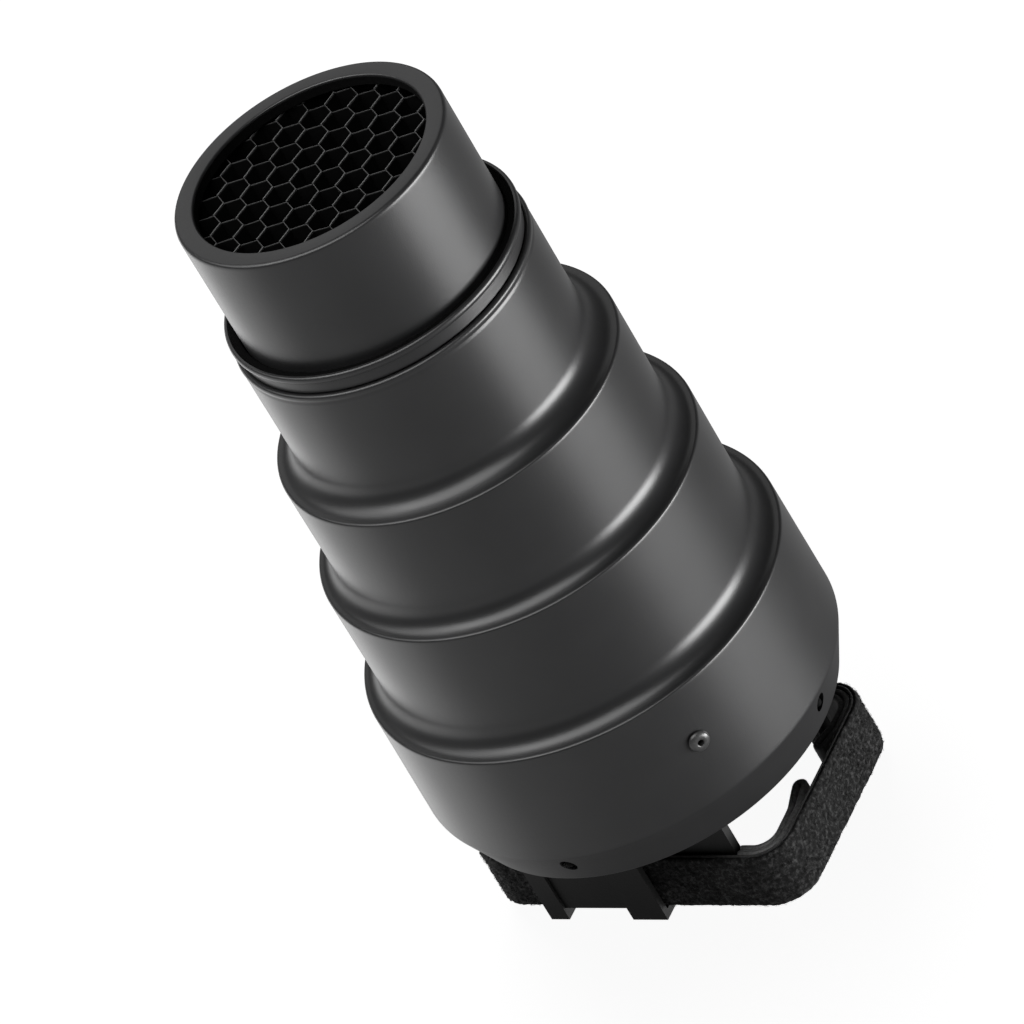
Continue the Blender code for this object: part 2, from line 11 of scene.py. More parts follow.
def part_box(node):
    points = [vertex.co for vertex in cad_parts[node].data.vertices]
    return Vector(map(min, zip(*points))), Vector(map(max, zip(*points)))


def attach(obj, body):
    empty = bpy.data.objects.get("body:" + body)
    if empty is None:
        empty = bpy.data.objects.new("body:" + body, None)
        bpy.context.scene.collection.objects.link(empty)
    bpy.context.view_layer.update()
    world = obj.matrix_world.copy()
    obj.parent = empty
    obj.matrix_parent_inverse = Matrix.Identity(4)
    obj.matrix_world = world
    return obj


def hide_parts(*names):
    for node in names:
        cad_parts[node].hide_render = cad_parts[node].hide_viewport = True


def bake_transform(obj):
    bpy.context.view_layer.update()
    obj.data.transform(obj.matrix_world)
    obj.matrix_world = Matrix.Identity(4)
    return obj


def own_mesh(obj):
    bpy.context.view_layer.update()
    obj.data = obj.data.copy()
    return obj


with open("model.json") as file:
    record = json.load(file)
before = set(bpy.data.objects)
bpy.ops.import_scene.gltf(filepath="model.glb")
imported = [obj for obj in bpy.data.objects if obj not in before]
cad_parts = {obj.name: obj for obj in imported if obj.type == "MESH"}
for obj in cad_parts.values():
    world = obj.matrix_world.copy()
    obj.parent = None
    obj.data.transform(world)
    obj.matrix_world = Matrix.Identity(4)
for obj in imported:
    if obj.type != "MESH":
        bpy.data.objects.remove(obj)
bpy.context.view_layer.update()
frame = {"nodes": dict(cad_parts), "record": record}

# ---------------------------------------------------------------- sizes, metres
TAU = math.tau
FINE = 192                    # facets round a turned piece
SHEET = 0.0012
GAP = 0.0003
NECK_CUT = 0.0015             # the neck stops this much short of the CAD one
LONG_STRETCH = 0.004
SUPPORT = 0.0005

# The shell's stations, as the CAD solid has them
TUBE_RADII = (0.03755, 0.0438, 0.0489)
COVE_TOP_Z = (0.1500, 0.1170, 0.0820)
COVE_FOOT_Z = (0.1439, 0.1113, 0.0760)
DRUM_TOP_RADIUS = 0.0543
CREASE_Z = 0.0434
RIM_RADIUS = 0.0498
EDGE = 0.0007

# The middle of the mount, between the two hinge pins, and the strap round it
MOUNT_Y = (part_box("hinge_pin_near")[0].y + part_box("hinge_pin_far")[1].y) / 2
STRAP_HALF_X = 0.0443
STRAP_HALF_Y = 0.0282
STRAP_CORNER = 0.0088
STRAP_STEP = 0.0005           # spacing of the strap's rings of points
STRAP_THICK_HALF = 0.0009
END_THICK_HALF = 0.0015
END_CLEARANCE = 0.00035
LOOPS_PER_HALF = 4200
PEGS = range(1, 5)
RIVETS = range(1, 4)
SIDES = (("near", 0.0), ("far", math.pi))

# Honeycomb
CELL_PITCH = 0.0072
CELL_ANGLE = math.radians(50.5)
CELL_OFFSET = Vector((-0.00227, -0.00069, 0.0))
FOIL = 0.00017
FOIL_GLUED = 0.00030
FOIL_NUDGE = 0.00022
FOIL_DIP = 0.00025

# Grid socket, felt and sleeve
SOCKET_MOUTH = 0.0365
SOCKET_GROOVE = 0.0364
SOCKET_SKIRT = 0.0360
SOCKET_BORE = 0.0354
SOCKET_STOP_BORE = 0.0331
BEAD_HEIGHT = 0.0020
FELT_THICKNESS = 0.0007
SLEEVE_WALL = 0.0010
LIP_RADIUS = 0.0292
LIP_DEPTH = 0.0030

# Rivets, and the stop ring that they hold
HOLE_RADIUS = 0.0016
RIVET_SHANK = 0.0013
RIVET_TAIL = 0.0517
MANDREL_HOLE = 0.00078
RING_BORE = 0.0450

# Adapter and its snap pegs, whose stations are distances from the snoot's axis
PLATE_Z = 0.0430
SKIRT_BORE = 0.0449
PEG_HOLE_RADIUS = 0.0019
PEG_HOLE_TALL = 1.35
PEG_RADIUS = 0.0011
PEG_TIP = 0.0532
PEG_NOSE = 0.0009
PEG_COLLAR = 0.0017
PEG_COLLAR_OUT = 0.0457
PEG_COLLAR_IN = 0.0442
PEG_TAIL = 0.0415
PEG_TAIL_RADIUS = 0.0009

# Studio: radiance of the table and the room, watts of the softboxes
TABLE_LEFT = 0.74
TABLE_FRONT = 0.40
TABLE_RIGHT = 0.22
TABLE_BEHIND = 0.75
ROOM = 0.04
ROOM_BEHIND = 0.16
ROOM_LEFT = 0.15
KEY_POWER = 370.0
UPPER_POWER = 17.0
BACK_POWER = 1.3
LEFT_POWER = 5.0
RIM_POWER = 0.8
FLOOR_GLOW = 0.94
LIGHT_AIM_Z = 0.11
SHADE_RADIUS = 0.13
SHADE_CORE = 0.03
SHADE_DEPTH = 0.80

# Camera
CAMERA_AZIMUTH = 44.5
CAMERA_ELEVATION = 34.75
CAMERA_ROLL = 31.2
CAMERA_DISTANCE = 1.671
CAMERA_AIM = Vector((0.0353, -0.0381, 0.1412))
LENS = 261.0

scene = bpy.context.scene


# ---------------------------------------------------------------- material makers
def new_node(tree, kind, **values):
    """A shader node with some of its inputs set."""
    node = tree.nodes.new("ShaderNode" + kind)
    for key, value in values.items():
        node.inputs[key.replace("_", " ")].default_value = value
    return node


class Nodes:
    """A short hand for building one node material."""

    def __init__(self, name):
        self.material = bpy.data.materials.new(name)
        self.material.use_nodes = True
        self.tree = self.material.node_tree
        self.shader = self.tree.nodes["Principled BSDF"]
        self.coords = self.tree.nodes.new("ShaderNodeTexCoord")

    def set(self, **values):
        for key, value in values.items():
            self.shader.inputs[key.replace("_", " ")].default_value = value

    def link(self, source, target):
        self.tree.links.new(source, target)

    def noise(self, scale, detail=3.0, roughness=0.5, stretch=(1, 1, 1)):
        mapping = new_node(self.tree, "Mapping", Scale=stretch)
        texture = new_node(self.tree, "TexNoise", Scale=scale, Detail=detail,
                           Roughness=roughness)
        self.link(self.coords.outputs["Object"], mapping.inputs["Vector"])
        self.link(mapping.outputs["Vector"], texture.inputs["Vector"])
        return texture.outputs["Fac"]

    def height(self, low, high):
        """0 below one height of the piece, 1 above the other."""
        parts = new_node(self.tree, "SeparateXYZ")
        self.link(self.coords.outputs["Object"], parts.inputs["Vector"])
        node = new_node(self.tree, "MapRange", From_Min=low, From_Max=high)
        self.link(parts.outputs["Z"], node.inputs["Value"])
        return node.outputs["Result"]

    def cells(self, scale):
        texture = new_node(self.tree, "TexVoronoi", Scale=scale)
        self.link(self.coords.outputs["Object"], texture.inputs["Vector"])
        return texture.outputs["Distance"]

    def ramp(self, value, stops):
        """Colour ramp; stops are (position, (r, g, b))."""
        ramp = new_node(self.tree, "ValToRGB")
        elements = ramp.color_ramp.elements
        while len(elements) < len(stops):
            elements.new(0.5)
        for element, (position, color) in zip(elements, stops):
            element.position = position
            element.color = (*color, 1.0)
        self.link(value, ramp.inputs["Fac"])
        return ramp.outputs["Color"]

    def spread(self, value, low, high):
        node = new_node(self.tree, "MapRange", To_Min=low, To_Max=high)
        self.link(value, node.inputs["Value"])
        return node.outputs["Result"]

    def bump(self, *layers):
        """Stacked bumps; each layer is (height, distance in metres, strength)."""
        normal = None
        for height, distance, strength in layers:
            node = new_node(self.tree, "Bump", Distance=distance, Strength=strength)
            self.link(height, node.inputs["Height"])
            if normal:
                self.link(normal, node.inputs["Normal"])
            normal = node.outputs["Normal"]
        self.link(normal, self.shader.inputs["Normal"])

    def color(self, value):
        self.link(value, self.shader.inputs["Base Color"])

    def roughness(self, value):
        self.link(value, self.shader.inputs["Roughness"])


def grey(level, tint=1.0):
    return (level, level, level * tint)


def powder_coat():
    m = Nodes("black_powder_coat")
    m.set(Specular_IOR_Level=0.42)
    blotch = m.noise(55, 4)
    grain = m.noise(3600, 2, 0.6)
    orange_peel = m.noise(900, 2)
    m.color(m.ramp(blotch, [(0.3, grey(0.010, 1.03)), (0.7, grey(0.013, 1.03))]))
    m.roughness(m.spread(grain, 0.29, 0.37))
    m.bump((orange_peel, 0.00003, 0.35), (grain, 0.00002, 0.5))
    return m.material


def anodised():
    m = Nodes("black_anodised")
    m.set(Metallic=0.6)
    grain = m.noise(2600, 3, 0.6)
    m.color(m.ramp(grain, [(0.3, grey(0.018)), (0.75, grey(0.034))]))
    m.roughness(m.spread(m.noise(240), 0.5, 0.66))
    m.bump((grain, 0.00003, 0.4))
    return m.material


def rivet_paint():
    m = Nodes("black_rivet")
    fine = m.noise(1800, 3)
    m.color(m.ramp(fine, [(0.25, grey(0.020)), (0.75, grey(0.034))]))
    m.roughness(m.spread(m.noise(700), 0.26, 0.4))
    m.bump((fine, 0.00004, 0.35))
    return m.material


def foil():
    m = Nodes("honeycomb_foil")
    m.set(Specular_IOR_Level=0.2)
    rolled = m.noise(700, 3, stretch=(1, 1, 0.15))
    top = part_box("honeycomb_core")[1].z
    # Painted highlight and shade: the foil is near black down in the cells, where shade falls, and
    # lighter along its top edge, where the light catches it.
    edge = m.height(top - 0.0008, top - 0.0001)
    m.color(m.ramp(edge, [(0.3, grey(0.0012)), (1.0, grey(0.075))]))
    m.roughness(m.spread(m.noise(500), 0.42, 0.6))
    m.bump((rolled, 0.00005, 0.5))
    return m.material


def painted_shade_black():
    """Near-black paint, darker than the real finishes: painted shade inside the grid's opening and on
    the snap pegs sunk in their holes.
    """
    m = Nodes("painted_shade_black")
    m.set(Specular_IOR_Level=0.08)
    dust = m.noise(900, 3)
    m.color(m.ramp(dust, [(0.3, grey(0.0010)), (0.8, grey(0.0025))]))
    m.roughness(m.spread(dust, 0.7, 0.9))
    return m.material


def plastic():
    m = Nodes("black_plastic")
    m.set(Specular_IOR_Level=0.22)
    spark = m.cells(1500)
    cloud = m.noise(160, 4)
    m.color(m.ramp(cloud, [(0.3, grey(0.003)), (0.75, grey(0.006))]))
    m.roughness(m.spread(cloud, 0.40, 0.52))
    m.bump((spark, 0.00004, 0.35), (cloud, 0.00003, 0.2))
    return m.material


def loop_pile():
    m = Nodes("strap_loop_pile")
    m.set(Sheen_Weight=0.05, Sheen_Roughness=0.5, Specular_IOR_Level=0.12)
    clump = m.noise(820, 5, 0.72)
    fibre = m.noise(5200, 3, 0.6)
    m.color(m.ramp(clump, [(0.41, grey(0.001)), (0.51, grey(0.005)), (0.63, grey(0.032))]))
    m.roughness(m.spread(fibre, 0.75, 0.98))
    m.bump((clump, 0.0003, 0.35), (fibre, 0.00012, 0.8))
    return m.material


def webbing():
    """The smooth woven back and edge of the strap."""
    m = Nodes("strap_weave")
    m.set(Sheen_Weight=0.12, Specular_IOR_Level=0.35)
    rib = m.noise(1400, 2, 0.5, stretch=(1, 1, 0.12))
    yarn = m.noise(2600, 2, 0.5, stretch=(0.25, 0.25, 1))
    m.color(m.ramp(rib, [(0.3, grey(0.013)), (0.7, grey(0.034))]))
    m.roughness(m.spread(yarn, 0.55, 0.8))
    m.bump((rib, 0.00012, 0.5), (yarn, 0.00008, 0.5))
    return m.material


def lit_folded_weave():
    """The strap's weave on its folded ends, shinier and made paler: a painted highlight for the light
    that falls on their upturned tops.
    """
    m = Nodes("strap_lit_folded_weave")
    m.set(Sheen_Weight=0.2)
    rib = m.noise(1400, 2, 0.5, stretch=(1, 1, 0.12))
    twist = m.noise(4200, 2)
    m.color(m.ramp(rib, [(0.3, grey(0.045)), (0.7, grey(0.110))]))
    m.roughness(m.spread(twist, 0.45, 0.7))
    m.bump((rib, 0.0001, 0.4), (twist, 0.00005, 0.5))
    return m.material


def felt():
    m = Nodes("felt")
    m.set(Specular_IOR_Level=0.05)
    fluff = m.noise(1900, 4, 0.7)
    # Near black: black felt, darkened further as painted shade in the gap round the sleeve.
    m.color(m.ramp(fluff, [(0.3, grey(0.0006)), (0.75, grey(0.0022))]))
    m.roughness(m.spread(fluff, 0.85, 1.0))
    m.bump((fluff, 0.0002, 0.6))
    return m.material


def rubber():
    m = Nodes("rubber_pad")
    m.set(Specular_IOR_Level=0.35)
    dust = m.noise(420, 4)
    pore = m.cells(2100)
    m.color(m.ramp(dust, [(0.3, grey(0.012)), (0.8, grey(0.024))]))
    m.roughness(m.spread(dust, 0.62, 0.82))
    m.bump((pore, 0.00005, 0.4))
    return m.material


def steel():
    m = Nodes("spring_steel")
    m.set(Metallic=1.0)
    drawn = m.noise(900, 3, 0.5, stretch=(1, 1, 4))
    m.color(m.ramp(drawn, [(0.3, grey(0.36, 1.02)), (0.7, grey(0.50, 1.02))]))
    m.roughness(m.spread(drawn, 0.22, 0.36))
    m.bump((drawn, 0.00002, 0.3))
    return m.material


MATERIALS = {make.__name__: make() for make in
             (powder_coat, painted_shade_black, anodised, rivet_paint, foil, plastic, loop_pile,
              webbing, lit_folded_weave, felt, rubber, steel)}


# ---------------------------------------------------------------- piece makers
def finished_mesh(name, bm):
    mesh = bpy.data.meshes.new(name)
    bm.to_mesh(mesh)
    bm.free()
    return mesh


def add_piece(name, mesh, finish, sharp=35.0):
    """Puts a mesh in the scene with its material, smooth with sharp creases."""
    obj = bpy.data.objects.new(name, mesh)
    scene.collection.objects.link(obj)
    mesh.materials.clear()
    mesh.materials.append(MATERIALS[finish])
    mesh.shade_smooth()
    mesh.set_sharp_from_angle(angle=math.radians(sharp))
    return obj


def from_bmesh(name, bm, finish, sharp=35.0):
    bmesh.ops.recalc_face_normals(bm, faces=bm.faces)
    return add_piece(name, finished_mesh(name, bm), finish, sharp)


def supported(outline):
    """The same closed outline with a point near each end of its long straight stretches, so
    that their shading stays flat."""
    points = []
    for here, after in zip(outline, outline[1:] + outline[:1]):
        points.append(here)
        length = math.dist(here, after)
        if length > LONG_STRETCH:
            for share in (SUPPORT / length, 1 - SUPPORT / length):
                points.append((here[0] + (after[0] - here[0]) * share,
                               here[1] + (after[1] - here[1]) * share))
    return points


def turned_mesh(name, outline, steps=FINE):
    """A mesh turned round Z from a closed outline of (radius, height), or one that starts
    and ends on the axis."""
    on_axis = outline[0][0] < 1e-9
    if not on_axis:
        outline = supported(outline)
    count = len(outline)
    bm = bmesh.new()
    rings = []
    for radius, z in outline:
        if radius < 1e-9:
            rings.append([bm.verts.new((0.0, 0.0, z))] * steps)
            continue
        rings.append([bm.verts.new((radius * math.cos(TAU * i / steps),
                                    radius * math.sin(TAU * i / steps), z))
                      for i in range(steps)])
    spans = count - 1 if on_axis else count
    for k in range(spans):
        upper = rings[k]
        lower = rings[(k + 1) % count]
        for i in range(steps):
            j = (i + 1) % steps
            corners = []
            for vert in (upper[i], upper[j], lower[j], lower[i]):
                if vert not in corners:
                    corners.append(vert)
            bm.faces.new(corners)
    bmesh.ops.recalc_face_normals(bm, faces=bm.faces)
    return finished_mesh(name, bm)


def turned(name, outline, finish, steps=FINE, sharp=35.0):
    return add_piece(name, turned_mesh(name, outline, steps), finish, sharp)


def aim_outward(mesh, angle, height):
    """Turns a mesh made round Z so that its axis leaves the snoot's axis at an angle."""
    turn = Matrix.Rotation(angle, 4, 'Z') @ Matrix.Rotation(math.pi / 2, 4, 'Y')
    mesh.transform(Matrix.Translation((0.0, 0.0, height)) @ turn)
    return mesh


def round_corner(before, corner, after, radius, steps=4):
    """Points of a quadratic round between two straight stretches of an outline."""
    before, corner, after = Vector(before), Vector(corner), Vector(after)
    start = corner + (before - corner).normalized() * radius
    end = corner + (after - corner).normalized() * radius
    points = []
    for i in range(steps + 1):
        t = i / steps
        points.append(tuple(start * (1 - t) ** 2 + corner * 2 * t * (1 - t) + end * t ** 2))
    return points


def rounded(points, radii, steps=4):
    """A closed outline with each corner rounded by its own radius, 0 for a sharp one."""
    outline = []
    count = len(points)
    for i, (point, radius) in enumerate(zip(points, radii)):
        if radius:
            outline += round_corner(points[i - 1], point, points[(i + 1) % count], radius, steps)
        else:
            outline.append(point)
    return outline


def cut_mesh(obj, cutters, finish, sharp=35.0):
    """Cuts the cutters' meshes out of a piece and applies the result."""
    for cutter_mesh in cutters:
        cutter = bpy.data.objects.new("cutter", cutter_mesh)
        scene.collection.objects.link(cutter)
        modifier = obj.modifiers.new("cut", 'BOOLEAN')
        modifier.object = cutter
        modifier.solver = 'EXACT'
        depsgraph = bpy.context.evaluated_depsgraph_get()
        mesh = bpy.data.meshes.new_from_object(obj.evaluated_get(depsgraph))
        obj.modifiers.clear()
        obj.data = mesh
        bpy.data.objects.remove(cutter)
    obj.data.materials.clear()
    obj.data.materials.append(MATERIALS[finish])
    obj.data.shade_smooth()
    obj.data.set_sharp_from_angle(angle=math.radians(sharp))


# ---------------------------------------------------------------- shell
def cove(r_top, r_foot, z_top, z_foot, steps=14):
    points = []
    for i in range(steps + 1):
        angle = math.pi / 2 * i / steps
        points.append((r_foot - (r_foot - r_top) * math.cos(angle),
                       z_top - (z_top - z_foot) * math.sin(angle)))
    return points


def edge_arc(radius, z, size, steps=5):
    """The rounded outer edge at a cove's foot, from flat on top to the wall below it."""
    points = []
    for i in range(steps + 1):
        angle = math.pi / 2 * i / steps
        points.append((radius - size + size * math.sin(angle),
                       z - size + size * math.cos(angle)))
    return points


def shell_outline():
    low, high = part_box("shell")
    top = high.z - NECK_CUT
    rim_z = low.z
    drum_radius = high.x
    rim_radius = RIM_RADIUS
    wider = (TUBE_RADII[1], TUBE_RADII[2], DRUM_TOP_RADIUS)
    neck = TUBE_RADII[0]
    outer = [(neck - 0.0007, top), (neck - 0.0002, top - 0.0001), (neck + 0.0001, top - 0.0005),
             (neck + 0.00015, top - 0.0009), (neck + 0.0001, top - 0.0013),
             (neck - 0.0001, top - 0.0017), (neck - 0.0001, top - 0.0021),
             (neck, top - 0.0024)]
    inner = [(neck - SHEET, top - 0.0002)]
    for radius, next_radius, z_top, z_foot in zip(TUBE_RADII, wider, COVE_TOP_Z, COVE_FOOT_Z):
        outer += cove(radius, next_radius - EDGE, z_top, z_foot)
        outer += edge_arc(next_radius, z_foot, EDGE)[1:]
        inner += cove(radius - SHEET, next_radius - SHEET, z_top - SHEET / 2, z_foot - SHEET, 8)
    outer += round_corner((DRUM_TOP_RADIUS, COVE_FOOT_Z[2]), (drum_radius, CREASE_Z),
                          (rim_radius, rim_z), 0.0006, 4)
    outer += round_corner((drum_radius, CREASE_Z), (rim_radius, rim_z),
                          (rim_radius - SHEET, rim_z), 0.0004, 3)
    inner += [(drum_radius - SHEET, CREASE_Z), (rim_radius - SHEET, rim_z + 0.0002)]
    return outer + inner[::-1]


def drill(radius, angle, height, start=0.045, end=0.060, steps=32, tall=1.0):
    """A cutter for a hole across the wall, tall times as high as it is wide."""
    mesh = turned_mesh("drill", [(0.0, end), (radius, end), (radius, start), (0.0, start)], steps)
    mesh.transform(Matrix.Scale(tall, 4, Vector((1.0, 0.0, 0.0))))
    return aim_outward(mesh, angle, height)


def angle_of(node):
    """The angle round the snoot's axis at which a small node sits."""
    low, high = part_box(node)
    middle = (low + high) / 2
    return math.atan2(middle.y, middle.x)


def peg_angle(number):
    """The direction of a snap peg round the snoot, from its joint's axis."""
    for joint in frame["record"]["behaviour"]["joints"]:
        if joint["name"] == f"snap_peg_{number}_press":
            return math.atan2(-joint["axis"][1], -joint["axis"][0])


def drum_radius_at(z):
    share = (COVE_FOOT_Z[2] - z) / (COVE_FOOT_Z[2] - CREASE_Z)
    return DRUM_TOP_RADIUS + share * (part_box("shell")[1].x - DRUM_TOP_RADIUS)


def height_of(node):
    low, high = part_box(node)
    return (low.z + high.z) / 2


def make_shell():
    shell = turned("shell_fine", shell_outline(), "powder_coat", sharp=50.0)
    holes = []
    for i in PEGS:
        holes.append(drill(PEG_HOLE_RADIUS, peg_angle(i),
                           height_of(f"snap_peg_{i}"), tall=PEG_HOLE_TALL))
    for i in RIVETS:
        rivet = f"rivet_{i}"
        holes.append(drill(HOLE_RADIUS, angle_of(rivet), height_of(rivet)))
    cut_mesh(shell, holes, "powder_coat", 50)
    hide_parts("shell")
    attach(shell, "root")


def make_rivets():
    """Domed heads with the mandrel hole in the middle."""
    for i in RIVETS:
        node = f"rivet_{i}"
        face = drum_radius_at(height_of(node)) + GAP
        dome = [(0.0, face - 0.0008), (MANDREL_HOLE, face - 0.0008), (0.00082, face + 0.0010),
                (0.0010, face + 0.0011)]
        for k in range(9):
            turn = math.pi / 2 * k / 8
            dome.append((0.0013 + 0.0014 * math.sin(turn), face + 0.0001 + 0.0010 * math.cos(turn)))
        tail = RIVET_TAIL
        dome += [(0.0026, face), (RIVET_SHANK, face), (RIVET_SHANK, tail), (0.0020, tail - 0.0002),
                 (0.0021, tail - 0.0007), (0.0016, tail - 0.0011), (0.0, tail - 0.0012)]
        mesh = aim_outward(turned_mesh(node + "_fine", dome, 36), angle_of(node), height_of(node))
        piece = add_piece(node + "_fine", mesh, "rivet_paint", 40)
        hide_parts(node)
        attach(piece, "root")


# ---------------------------------------------------------------- grid group
def make_socket():
    low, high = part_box("grid_socket")
    top, foot = high.z, low.z
    bead = high.x
    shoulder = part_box("shell")[1].z - NECK_CUT + GAP
    points = [(SOCKET_MOUTH, top), (bead, top), (bead, top - BEAD_HEIGHT),
              (SOCKET_GROOVE, top - BEAD_HEIGHT), (SOCKET_GROOVE, shoulder),
              (SOCKET_SKIRT, shoulder), (SOCKET_SKIRT, foot), (SOCKET_STOP_BORE, foot),
              (SOCKET_STOP_BORE, foot + 0.0010), (SOCKET_BORE, foot + 0.0010),
              (SOCKET_BORE, top - 0.0018)]
    radii = [0.0004, 0.00095, 0.00095, 0, 0, 0, 0.0003, 0.0003, 0.0002, 0, 0.0002]
    socket = turned("grid_socket_fine", rounded(points, radii), "powder_coat")
    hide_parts("grid_socket")
    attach(socket, "root")


def make_felt():
    """The felt lines the socket and turns out into its mouth, black all round the sleeve: black felt,
    darkened further as painted shade in the gap.
    """
    low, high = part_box("felt_band")
    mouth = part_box("grid_socket")[1].z
    inner = high.x - FELT_THICKNESS
    points = [(inner, mouth - 0.0006), (0.0362, mouth - 0.0004), (high.x, mouth - 0.0017),
              (high.x, low.z), (inner, low.z)]
    band = turned("felt_band_fine", rounded(points, [0.0002, 0.0001, 0.0003, 0.0002, 0.0002], 3),
                  "felt")
    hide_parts("felt_band")
    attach(band, "root")


def make_sleeve():
    low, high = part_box("grid_sleeve")
    top, foot, radius = high.z, low.z, high.x
    bore = radius - SLEEVE_WALL
    lip = LIP_RADIUS
    points = [(lip, top), (radius, top), (radius, foot), (bore, foot), (bore, top - SHEET),
              (lip + SLEEVE_WALL, top - SHEET), (lip + SLEEVE_WALL, top - LIP_DEPTH),
              (lip, top - LIP_DEPTH)]
    radii = [0.0006, 0.0011, 0.0003, 0.0003, 0.0004, 0.0004, 0.0003, 0.0003]
    sleeve = turned("grid_sleeve_fine", rounded(points, radii, 6), "powder_coat", sharp=40)
    # The lining on the lip's inner wall is black paint, darkened further as painted shade inside the
    # opening.
    lining = turned("grid_sleeve_lining", [(lip - 0.0001, top - 0.0006), (lip + 0.0002, top - 0.0006),
                                           (lip + 0.0002, top - 0.0029), (lip - 0.0001, top - 0.0029)],
                    "painted_shade_black")
    for piece in (sleeve, lining):
        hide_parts("grid_sleeve")
        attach(piece, "grid")


def foil_corners(centres, corner_radius, turn):
    """Each cell's six corners, nudged a little, the same way for the cells that share one."""
    cells = []
    for centre in centres:
        corners = []
        for k in range(6):
            angle = turn + math.pi / 2 + TAU * k / 6
            x = centre.x + corner_radius * math.cos(angle)
            y = centre.y + corner_radius * math.sin(angle)
            nudge = noise.noise_vector(Vector((round(x * 4000), round(y * 4000), 3.7)) * 0.37)
            corners.append(Vector((x + nudge.x * FOIL_NUDGE, y + nudge.y * FOIL_NUDGE)))
        cells.append(corners)
    return cells


def inside_core(start, end, radius):
    """The stretch of a foil wall that lies inside the core's circle, or None."""
    if start.length <= radius and end.length <= radius:
        return start, end
    if start.length > radius and end.length > radius:
        return None
    inner, outer = (start, end) if start.length <= radius else (end, start)
    low, high = 0.0, 1.0
    for _ in range(20):
        middle = (low + high) / 2
        if inner.lerp(outer, middle).length < radius:
            low = middle
        else:
            high = middle
    return inner, inner.lerp(outer, low)


def make_honeycomb():
    """Thin foil walls, doubled where two strips are glued, with a foil ring round them."""
    low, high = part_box("honeycomb_core")
    radius = high.x - 0.0001
    across = Vector((math.cos(CELL_ANGLE), math.sin(CELL_ANGLE), 0.0)) * CELL_PITCH
    slant = Matrix.Rotation(TAU / 6, 3, 'Z') @ across
    centres = [CELL_OFFSET + i * across + j * slant for i in range(-7, 8) for j in range(-7, 8)]
    centres = [centre for centre in centres if centre.length < radius + CELL_PITCH]
    done = set()
    bm = bmesh.new()
    for corners in foil_corners(centres, CELL_PITCH / math.sqrt(3), CELL_ANGLE):
        for k in range(6):
            start, end = corners[k], corners[(k + 1) % 6]
            middle = (start + end) / 2
            key = (round(middle.x * 2500), round(middle.y * 2500))
            if key in done:
                continue
            done.add(key)
            stretch = inside_core(start, end, radius)
            if stretch:
                if k % 3 == 0:
                    add_wall(bm, *stretch, FOIL_GLUED, low.z, high.z)
                else:
                    add_wall(bm, *stretch, FOIL, low.z, high.z - FOIL_DIP)
    ring = turned_mesh("foil_ring", [(radius - 0.0002, high.z), (radius, high.z),
                                     (radius, low.z), (radius - 0.0002, low.z)], 96)
    bm.from_mesh(ring)
    core = from_bmesh("honeycomb_fine", bm, "foil")
    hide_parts("honeycomb_core")
    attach(core, "grid")


def add_wall(bm, start, end, thickness, z_low, z_high):
    """A thin upright wall between two points in plan, with a slightly uneven top edge."""
    along = (end - start).normalized()
    side = Vector((-along.y, along.x)) * thickness / 2
    rings = []
    for step in range(4):
        point = start.lerp(end, step / 3)
        dip = 0.0002 * abs(noise.noise(Vector((point.x, point.y, 0.0)) * 300))
        rings.append([bm.verts.new((point.x + sign * side.x, point.y + sign * side.y, z))
                      for sign, z in ((1, z_low), (1, z_high - dip), (-1, z_high - dip),
                                      (-1, z_low))])
    for before, after in zip(rings, rings[1:]):
        for k in range(4):
            m = (k + 1) % 4
            bm.faces.new((before[k], before[m], after[m], after[k]))
    bm.faces.new(rings[0])
    bm.faces.new(rings[-1])


def tube_mesh(name, points, radius, sides=10):
    """A round wire along points, closed at both ends."""
    bm = bmesh.new()
    rings = []
    normal = None
    for i, point in enumerate(points):
        along = (points[min(i + 1, len(points) - 1)] - points[max(i - 1, 0)]).normalized()
        if normal is None:
            normal = along.orthogonal()
        normal = (normal - along * normal.dot(along)).normalized()
        across = along.cross(normal)
        rings.append([bm.verts.new(point + radius * (normal * math.cos(TAU * k / sides)
                                                     + across * math.sin(TAU * k / sides)))
                      for k in range(sides)])
    for before, after in zip(rings, rings[1:]):
        for k in range(sides):
            m = (k + 1) % sides
            bm.faces.new((before[k], before[m], after[m], after[k]))
    bm.faces.new(rings[0])
    bm.faces.new(rings[-1])
    bmesh.ops.recalc_face_normals(bm, faces=bm.faces)
    return finished_mesh(name, bm)


def make_core_ring():
    low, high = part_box("core_snap_ring")
    wire = (high.z - low.z) / 2
    radius = high.x - wire
    points = []
    for i in range(181):
        angle = math.radians(10 + 340 * i / 180)
        points.append(Vector((radius * math.cos(angle), radius * math.sin(angle),
                              (low.z + high.z) / 2)))
    ring = add_piece("core_snap_ring_fine", tube_mesh("ring", points, wire, 12), "steel")
    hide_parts("core_snap_ring")
    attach(ring, "grid")


# ---------------------------------------------------------------- rim, adapter and pegs
def make_stop_ring():
    low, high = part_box("stop_ring")
    points = [(high.x - SHEET, high.z), (high.x, high.z), (high.x, low.z), (RING_BORE, low.z),
              (RING_BORE, low.z + SHEET), (high.x - SHEET, low.z + SHEET)]
    radii = [0.0003, 0.0003, 0.0008, 0.0003, 0.0003, 0.0006]
    ring = turned("stop_ring_fine", rounded(points, radii), "anodised")
    cut_mesh(ring, [drill(HOLE_RADIUS, angle_of(f"rivet_{i}"), height_of(f"rivet_{i}"))
                    for i in RIVETS], "anodised")
    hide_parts("stop_ring")
    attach(ring, "root")


